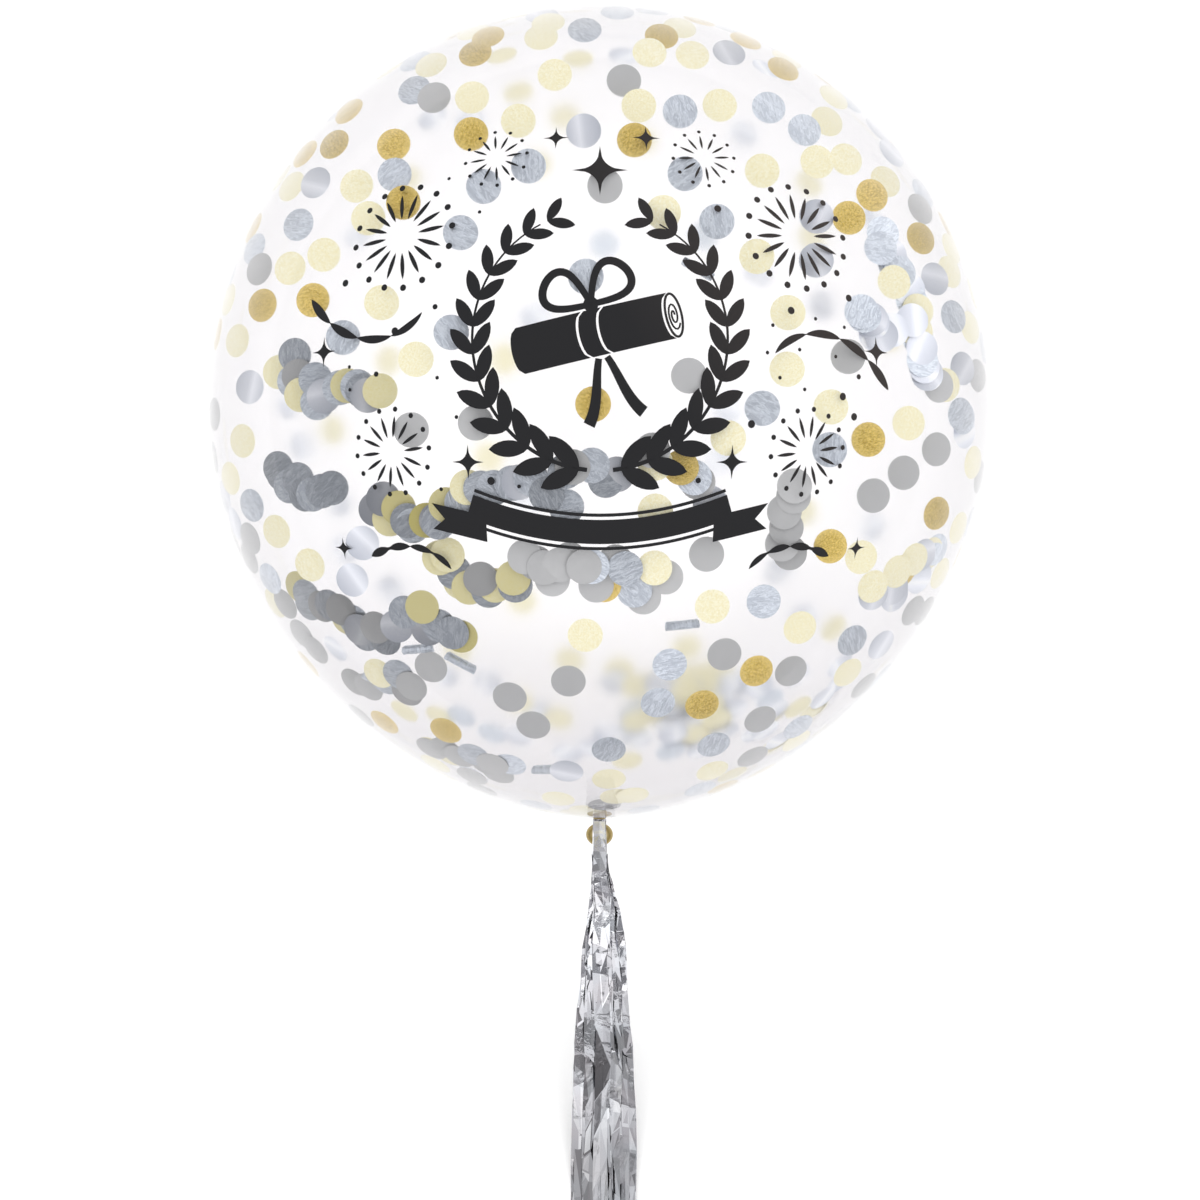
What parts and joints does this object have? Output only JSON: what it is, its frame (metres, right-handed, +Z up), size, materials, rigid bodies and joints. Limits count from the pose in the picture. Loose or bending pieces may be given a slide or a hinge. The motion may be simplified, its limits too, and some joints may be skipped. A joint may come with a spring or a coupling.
{
  "type": "confetti balloon",
  "caption": "Giant round clear latex balloon, sealed with foil confetti inside, lying on its back with a silver foil strip tassel hung from its tied neck.",
  "frame": {"origin": "middle of the small flat spot under the balloon, on the floor", "axes": "+Z up out of the balloon's printed front, +Y from the neck to the crown, +X to the right of the front"},
  "size_m": [0.61, 1.2483, 0.6079],
  "materials": {
    "clear_latex": "clear thin latex, faintly hazy, with a soft gloss",
    "silver_foil": "bright crinkled metallised foil strips",
    "amber_latex": "thick unstretched amber latex of the neck, knot and rolled rim",
    "pale_gold_foil": "pale gold foil with a fine grain",
    "dark_gold_foil": "brushed dark gold foil",
    "crinkled_silver_foil": "crinkled blue-grey silver foil",
    "satin_silver_foil": "satin silver foil",
    "grey_foil": "matt grey back of the foil",
    "black_ink": "thin black screen print"
  },
  "bodies": {
    "root": {"balloon": "clear_latex", "foil_tassel": "silver_foil"}
  },
  "joints": []
}
